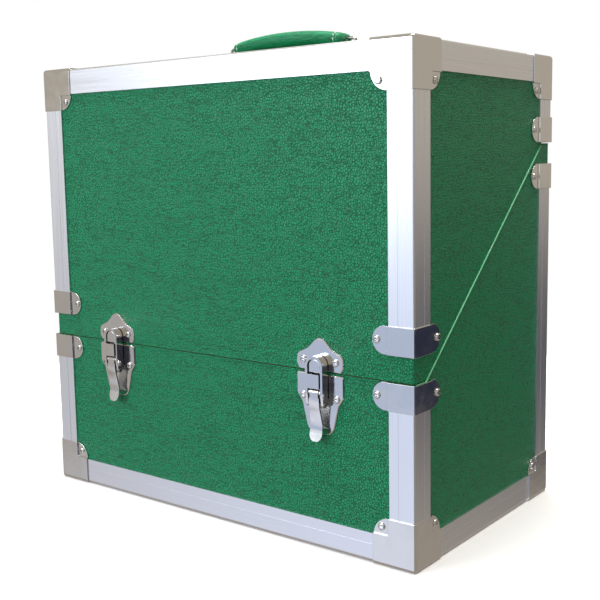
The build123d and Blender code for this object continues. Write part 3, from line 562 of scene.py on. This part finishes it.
class SEWINGCASE_OT_seam_lips(bpy.types.Operator):
    """Rolls the covering's turned edge along both sides of the parting line"""

    bl_idname = "sewing_case.seam_lips"
    bl_label = "Turned Edges at the Seam"

    def execute(self, context):
        lip = context.scene.case_seam.lip_mm
        plan, normals = plan_outline(COVER_LOW, COVER_HIGH, COVER_CORNER_R, per_side=64, per_corner=6)
        side = np.column_stack([normals, np.zeros(len(normals))])
        for name, body, away in (("base_turned_edge", "base", -1), ("lid_turned_edge", "lid", 1)):
            height = seam_height(plan[:, 1]) + away * (SEAM_GAP + lip)
            path = np.column_stack([plan - normals * (lip - LIP_PROUD), height])
            points, quads = tube_along(path, side, lip)
            make_piece(name, points, quads, (), "leathercloth", body)
        return {"FINISHED"}


class SEWINGCASE_OT_side_piping(bpy.types.Operator):
    """Runs a bead of piping down the base's sloping edge on both sides"""

    bl_idname = "sewing_case.side_piping"
    bl_label = "Side Piping"

    def execute(self, context):
        radius = context.scene.case_seam.piping_mm
        y = np.linspace(PIPING_FRONT_Y, PIPING_BACK_Y, 120)
        angle = np.linspace(0, 2 * np.pi, 12, endpoint=False)
        taper = end_taper(np.linspace(-1, 1, len(y)), PIPING_END, 0.05)
        height = seam_height(y) - SEAM_GAP - PIPING_TALL * radius
        blocks, quads, caps = [], [], []
        for side in (-1, 1):
            # A bead along the seam: centre (side * x, y, height), ringed by cos * x and
            # tall * sin * z times the radius, with both ends drawn in by the taper.
            centre = np.column_stack([np.full_like(y, side * (COVER_HIGH[0] + PIPING_OUT)), y, height])
            ring = centre[:, None, :] + (radius * taper)[:, None, None] * np.stack(
                [np.cos(angle), 0 * angle, PIPING_TALL * np.sin(angle)], axis=-1
            )
            start = len(blocks) * len(y) * len(angle)
            blocks.append(ring.reshape(-1, 3))
            quads.append(grid_faces(len(y), len(angle), False, True, start))
            last = start + (len(y) - 1) * len(angle)
            caps += [range(start, start + len(angle)), range(last + len(angle) - 1, last - 1, -1)]
        make_piece(
            "base_side_piping",
            np.concatenate(blocks),
            np.concatenate(quads),
            caps,
            "piping",
            "base",
        )
        return {"FINISHED"}


# ------------------------------------------------------------------ pressed metal
PRESSED = {
    "top_front_caps": "lid",
    "top_back_caps": "lid",
    "bottom_front_caps": "base",
    "bottom_back_caps": "base",
    "lid_clips": "lid",
    "base_clips": "base",
    "latch_keepers": "lid",
    "latch_plates": "base",
    "left_latch_lever": "left_lever",
    "right_latch_lever": "right_lever",
}


class SEWINGCASE_OT_pressed_metal(bpy.types.Operator):
    """Gives the pressed caps, clips and latches the soft edges of stamped sheet"""

    bl_idname = "sewing_case.pressed_metal"
    bl_label = "Pressed Metal"

    def execute(self, context):
        width = context.scene.case_metal.edge_mm * MM
        for node, body in PRESSED.items():
            mesh = bpy.data.objects[node].data.copy()
            shape = bmesh.new()
            shape.from_mesh(mesh)
            bmesh.ops.remove_doubles(shape, verts=shape.verts, dist=0.001 * MM)
            bmesh.ops.dissolve_limit(
                shape, angle_limit=math.radians(1.0), verts=shape.verts, edges=shape.edges
            )
            shape.to_mesh(mesh)
            shape.free()
            mesh.shade_smooth()
            piece = bpy.data.objects.new(node + "_pressed", mesh)
            context.scene.collection.objects.link(piece)
            edge = piece.modifiers.new("rolled edge", "BEVEL")
            edge.width = width
            edge.segments = 2
            edge.limit_method = "ANGLE"
            edge.angle_limit = math.radians(35)
            flats = piece.modifiers.new("flat faces stay flat", "WEIGHTED_NORMAL")
            flats.weight = 100
            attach(piece, body)
            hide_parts(node)
        return {"FINISHED"}


# ------------------------------------------------------------------ handle
GRIP_END_CENTRE = 365.8  # height of the grip's centre line at its ends
GRIP_RISE = 3.6  # how much higher it is in the middle
ROUND_OFF = 0.05  # share of the half length over which the ends round off
GRIP_POWER = 2.8  # of the section's superellipse: 2 is an ellipse, more is squarer
STITCH_AT = 0.9  # place of each row, as a share of the half length
STITCH_START = 0.13  # angle of the first stitch, in radians
STITCH_REACH = 0.33  # half the length of a stitch, as a share of the spacing
STITCH_LIFT = 0.1  # from the leathercloth to the middle of the thread
THREAD_R = 0.42


def grip_section(share, settings):
    """Centre height, half width and half thickness of the grip at a share of its half length.

    The centre line arches as 1 - share squared; width and thickness swell as the root of
    that; towards an end the thickness closes as a quarter ellipse and the width as its root.
    """
    arch = 1 - share**2
    centre = GRIP_END_CENTRE + GRIP_RISE * arch
    wide = settings.end_width_mm + (settings.middle_width_mm - settings.end_width_mm) * np.sqrt(arch)
    thick = settings.end_thick_mm + (settings.middle_thick_mm - settings.end_thick_mm) * np.sqrt(arch)
    round_off = end_taper(share, ROUND_OFF, 0.02)
    return centre, wide / 2 * round_off**0.5, thick / 2 * round_off


def grip_point(share, angle, settings, grow=0.0):
    """A point of the grip: a rounded-rectangle (superellipse) section along its length."""
    centre, half_wide, half_thick = grip_section(share, settings)
    power = 2 / GRIP_POWER
    across = np.sign(np.cos(angle)) * np.abs(np.cos(angle)) ** power * (half_wide + grow)
    over = np.sign(np.sin(angle)) * np.abs(np.sin(angle)) ** power * (half_thick + grow)
    middle_y = (GRIP_LOW[1] + GRIP_HIGH[1]) / 2
    return np.stack([share * GRIP_HIGH[0] + 0 * angle, middle_y + across, centre + over], axis=-1)


class SEWINGCASE_OT_handle_wrap(bpy.types.Operator):
    """Covers the handle's core with padded leathercloth, swollen in the middle"""

    bl_idname = "sewing_case.handle_wrap"
    bl_label = "Padded Handle"

    def execute(self, context):
        settings = context.scene.case_handle
        share = np.sin(np.linspace(-np.pi / 2, np.pi / 2, 97))[:, None]
        angle = np.linspace(0, 2 * np.pi, 48, endpoint=False)[None, :]
        points = grip_point(share, angle, settings)
        rows, columns = points.shape[:2]
        quads = grid_faces(rows, columns, False, True)
        caps = (range(columns), range(rows * columns - 1, (rows - 1) * columns - 1, -1))
        wrap = make_piece(
            "handle_wrap", points.reshape(-1, 3), quads, caps, "leathercloth", "handle"
        )
        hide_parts("handle_grip")
        return {"FINISHED"}


class SEWINGCASE_OT_handle_stitches(bpy.types.Operator):
    """Sews a row of stitches round each end of the handle"""

    bl_idname = "sewing_case.handle_stitches"
    bl_label = "Handle Stitches"

    def execute(self, context):
        settings = context.scene.case_handle
        turn = 2 * np.pi / settings.stitches
        where = np.arange(settings.stitches) * turn + STITCH_START
        around = np.linspace(0, 2 * np.pi, 6, endpoint=False)
        along = np.linspace(-1, 1, 7)
        lengthwise = np.array([1.0, 0.0, 0.0])
        blocks = []
        for end in (-STITCH_AT, STITCH_AT):
            # Each stitch lies on the grip's own section: angle + along * reach * spacing,
            # with a round thread that thins to nothing at both holes.
            angle = where[:, None] + along[None, :] * turn * STITCH_REACH
            centre = grip_point(np.full_like(angle, end), angle, settings, STITCH_LIFT)
            out = grip_point(np.full_like(angle, end), angle, settings, STITCH_LIFT + 1) - centre
            out /= np.linalg.norm(out, axis=-1, keepdims=True)
            thread = THREAD_R * np.sqrt(np.clip(1 - along**2, 0.03, 1))[None, :, None, None]
            ring = centre[:, :, None, :] + thread * (
                np.cos(around)[None, None, :, None] * lengthwise
                + np.sin(around)[None, None, :, None] * out[:, :, None, :]
            )
            blocks.append(ring)
        rings = np.concatenate(blocks)
        count, rows, columns = rings.shape[:3]
        one = grid_faces(rows, columns, False, True)
        starts = np.arange(count) * rows * columns
        quads = (one[None] + starts[:, None, None]).reshape(-1, 4)
        last = (rows - 1) * columns
        caps = [range(s + columns - 1, s - 1, -1) for s in starts]
        caps += [range(s + last, s + last + columns) for s in starts]
        make_piece(
            "handle_stitches", rings.reshape(-1, 3), quads, caps, "thread", "handle"
        )
        return {"FINISHED"}


# ------------------------------------------------------------------ finishes and stage
class SEWINGCASE_OT_finishes(bpy.types.Operator):
    """Gives every solid of the case its finish"""

    bl_idname = "sewing_case.finishes"
    bl_label = "Finishes"

    def execute(self, context):
        make_finishes(context.scene.case_finish)
        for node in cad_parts:
            solid = bpy.data.objects[node]
            solid.data.materials.clear()
            solid.data.materials.append(FINISHES[finish_of(node)])
        return {"FINISHED"}


def soft_light(name, place, target, size, power, colour):
    """A square soft box at a place, in metres, turned to face the target."""
    lamp = bpy.data.lights.new(name, "AREA")
    lamp.shape = "SQUARE"
    lamp.size = size
    lamp.energy = power
    lamp.color = colour
    holder = bpy.data.objects.new(name, lamp)
    holder.location = place
    holder.rotation_mode = "QUATERNION"
    holder.rotation_quaternion = (Vector(target) - Vector(place)).to_track_quat("-Z", "Y")
    bpy.context.scene.collection.objects.link(holder)
    return holder


def studio_world():
    """A pale room: brightest in front, dimmer and warm elsewhere, nearly dark level at the right."""
    world = bpy.data.worlds.new("studio")
    bpy.context.scene.world = world
    world.use_nodes = True
    tree = world.node_tree
    tree.nodes.clear()
    direction = add_node(tree, "ShaderNodeTexCoord")
    towards_front = (-0.17, -0.985, 0.0)

    def ramp(axis, low, high):
        along = add_node(
            tree,
            "ShaderNodeVectorMath",
            operation="DOT_PRODUCT",
            values={1: axis},
            links={0: direction.outputs["Generated"]},
        )
        return add_node(
            tree,
            "ShaderNodeMapRange",
            interpolation_type="SMOOTHSTEP",
            values={"From Min": low, "From Max": high},
            links={"Value": along.outputs["Value"]},
        ).outputs["Result"]

    # Level with the floor the room is darker than above or below it.
    front = ramp(towards_front, 0.74, 0.88)
    above = ramp((0.0, 0.0, 1.0), -0.12, -0.03)
    below = ramp((0.0, 0.0, -1.0), 0.24, 0.36)
    upper = blend(tree, front, (0.54, 0.485, 0.41), (0.98, 1.06, 1.18))
    left = ramp((-1.0, 0.0, 0.0), -0.1, 0.5)
    sides = blend(tree, left, (0.03, 0.035, 0.06), (0.5, 0.46, 0.42))
    level = blend(tree, front, sides, (0.6, 0.69, 0.92))
    front_floor = ramp(towards_front, 0.62, 0.78)
    lower = blend(tree, front_floor, (0.42, 0.37, 0.32), (0.95, 1.0, 1.18))
    room = blend(tree, above, blend(tree, below, level, lower), upper)
    eye = add_node(tree, "ShaderNodeLightPath")
    seen = blend(tree, eye.outputs["Is Camera Ray"], room, (1.0, 1.0, 1.0))
    background = add_node(tree, "ShaderNodeBackground", values={"Strength": 1.0})
    tree.links.new(seen, background.inputs["Color"])
    output = add_node(tree, "ShaderNodeOutputWorld")
    tree.links.new(background.outputs["Background"], output.inputs["Surface"])


PAPER_R = 0.62  # in metres
LENS_MM = 59.25828  # on a sensor 36 mm wide
LENS_SHIFT = (-0.0284016667, -0.0211183333)  # right and up, as shares of the sensor's width


class SEWINGCASE_OT_stage(bpy.types.Operator):
    """Lays a pale floor, sets soft studio light and places the camera"""

    bl_idname = "sewing_case.stage"
    bl_label = "Stage"

    def execute(self, context):
        scene = context.scene
        scene.view_settings.view_transform = "Standard"
        studio_world()
        soft_light(
            "key",
            place=(-0.9, -1.9, 0.95),
            target=(0, 0, 0.15),
            size=1.1,
            power=17,
            colour=(0.9, 0.98, 1.14),
        )
        soft_light(
            "overhead",
            place=(0.0, 0.1, 2.2),
            target=(0, 0.1, 0),
            size=1.2,
            power=75,
            colour=(1.0, 1.0, 1.0),
        )
        around = np.linspace(0, 2 * np.pi, 96, endpoint=False)
        rim = PAPER_R * np.column_stack([np.cos(around), np.sin(around), 0 * around])
        mesh = bpy.data.meshes.new("floor")
        mesh.from_pydata(rim.tolist(), [], [list(range(len(rim)))])
        mesh.materials.append(plain("matt white paper", "#f4f4f4", 0.9))
        floor = bpy.data.objects.new("floor", mesh)
        # The paper only shows the case's shadow: it neither lights the case nor mirrors in it.
        floor.visible_diffuse = False
        floor.visible_glossy = False
        scene.collection.objects.link(floor)
        camera_data = bpy.data.cameras.new("camera")
        camera_data.sensor_width = 36
        camera_data.lens = LENS_MM
        camera_data.shift_x, camera_data.shift_y = LENS_SHIFT
        camera_data.clip_start = 0.01
        camera = bpy.data.objects.new("camera", camera_data)
        camera.rotation_mode = "QUATERNION"
        right = Vector((0.797013, 0.603768, -0.015285))
        down = Vector((0.067059, -0.113617, -0.991259))
        ahead = Vector((-0.600228, 0.789021, -0.131042))
        camera.rotation_quaternion = Matrix((right, -down, -ahead)).transposed().to_quaternion()
        camera.location = (0.50977, -0.637272, 0.275871)
        scene.collection.objects.link(camera)
        scene.camera = camera
        return {"FINISHED"}


OPERATORS = (
    SEWINGCASE_OT_finishes,
    SEWINGCASE_OT_seam_lips,
    SEWINGCASE_OT_side_piping,
    SEWINGCASE_OT_pressed_metal,
    SEWINGCASE_OT_handle_wrap,
    SEWINGCASE_OT_handle_stitches,
    SEWINGCASE_OT_stage,
)
SETTINGS = {
    "case_finish": CaseFinishSettings,
    "case_handle": CaseHandleSettings,
    "case_seam": CaseSeamSettings,
    "case_metal": CaseMetalSettings,
}


class SEWINGCASE_PT_panel(bpy.types.Panel):
    """Lists the case's settings and pieces"""

    bl_idname = "SEWINGCASE_PT_panel"
    bl_label = "Sewing Case"
    bl_space_type = "VIEW_3D"
    bl_region_type = "UI"
    bl_category = "Sewing Case"

    def draw(self, context):
        for name, group in SETTINGS.items():
            box = self.layout.box()
            box.label(text=group.__doc__)
            for prop in group.__annotations__:
                box.prop(getattr(context.scene, name), prop)
        for operator in OPERATORS:
            self.layout.operator(operator.bl_idname)


def register():
    for item in (*SETTINGS.values(), *OPERATORS, SEWINGCASE_PT_panel):
        bpy.utils.register_class(item)
    for name, group in SETTINGS.items():
        setattr(bpy.types.Scene, name, bpy.props.PointerProperty(type=group))


def unregister():
    for name in SETTINGS:
        delattr(bpy.types.Scene, name)
    for item in reversed((*SETTINGS.values(), *OPERATORS, SEWINGCASE_PT_panel)):
        bpy.utils.unregister_class(item)


def main():
    """Builds every piece in order."""
    register()
    for operator in OPERATORS:
        group, name = operator.bl_idname.split(".")
        getattr(getattr(bpy.ops, group), name)()


if __name__ == "__main__":
    main()
